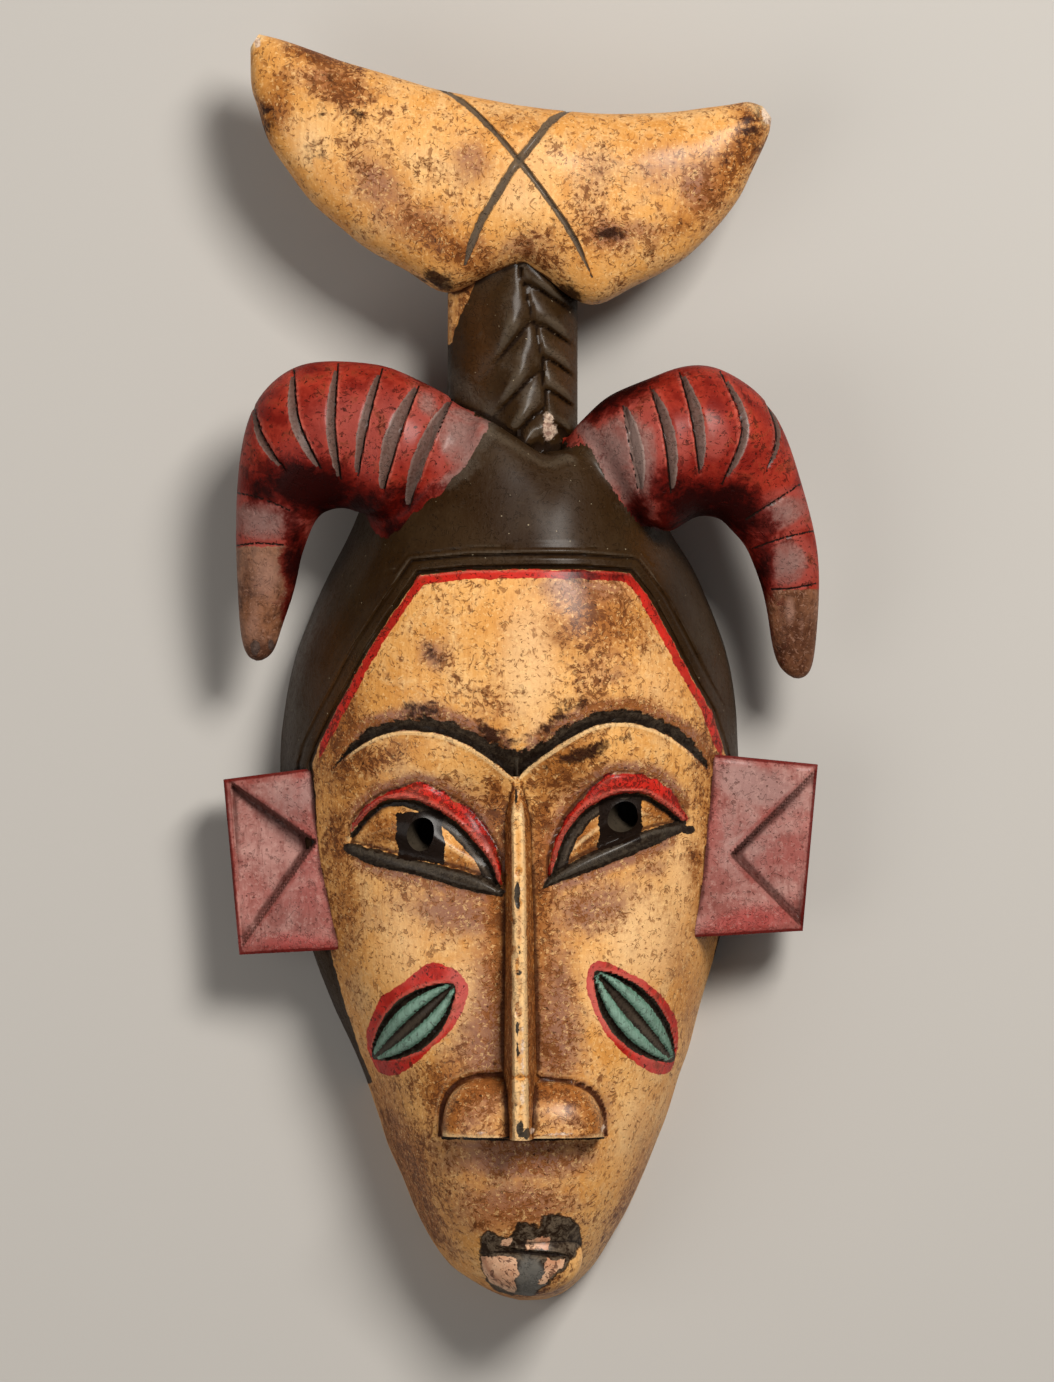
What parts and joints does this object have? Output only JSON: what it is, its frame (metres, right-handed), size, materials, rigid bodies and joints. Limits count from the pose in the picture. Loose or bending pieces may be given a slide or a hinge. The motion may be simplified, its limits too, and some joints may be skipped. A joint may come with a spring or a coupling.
{
  "type": "carved face mask",
  "caption": "Carved and painted wooden face mask with ringed horns, square ears, a braided neck and a crescent crest, hollow behind, made to be worn or hung.",
  "frame": {"origin": "middle of the bounding box in X and Y, on the plane of the flat back rim", "axes": "the mask lies on its back rim: +X across the face to the viewer's right, +Y from chin to crest, +Z out of the face"},
  "size_m": [0.2014, 0.4296, 0.0886],
  "materials": {
    "painted_wood": "old ochre, red, pink, green and black paint under varnish on carved wood"
  },
  "bodies": {
    "root": {"mask": "painted_wood"}
  },
  "joints": []
}
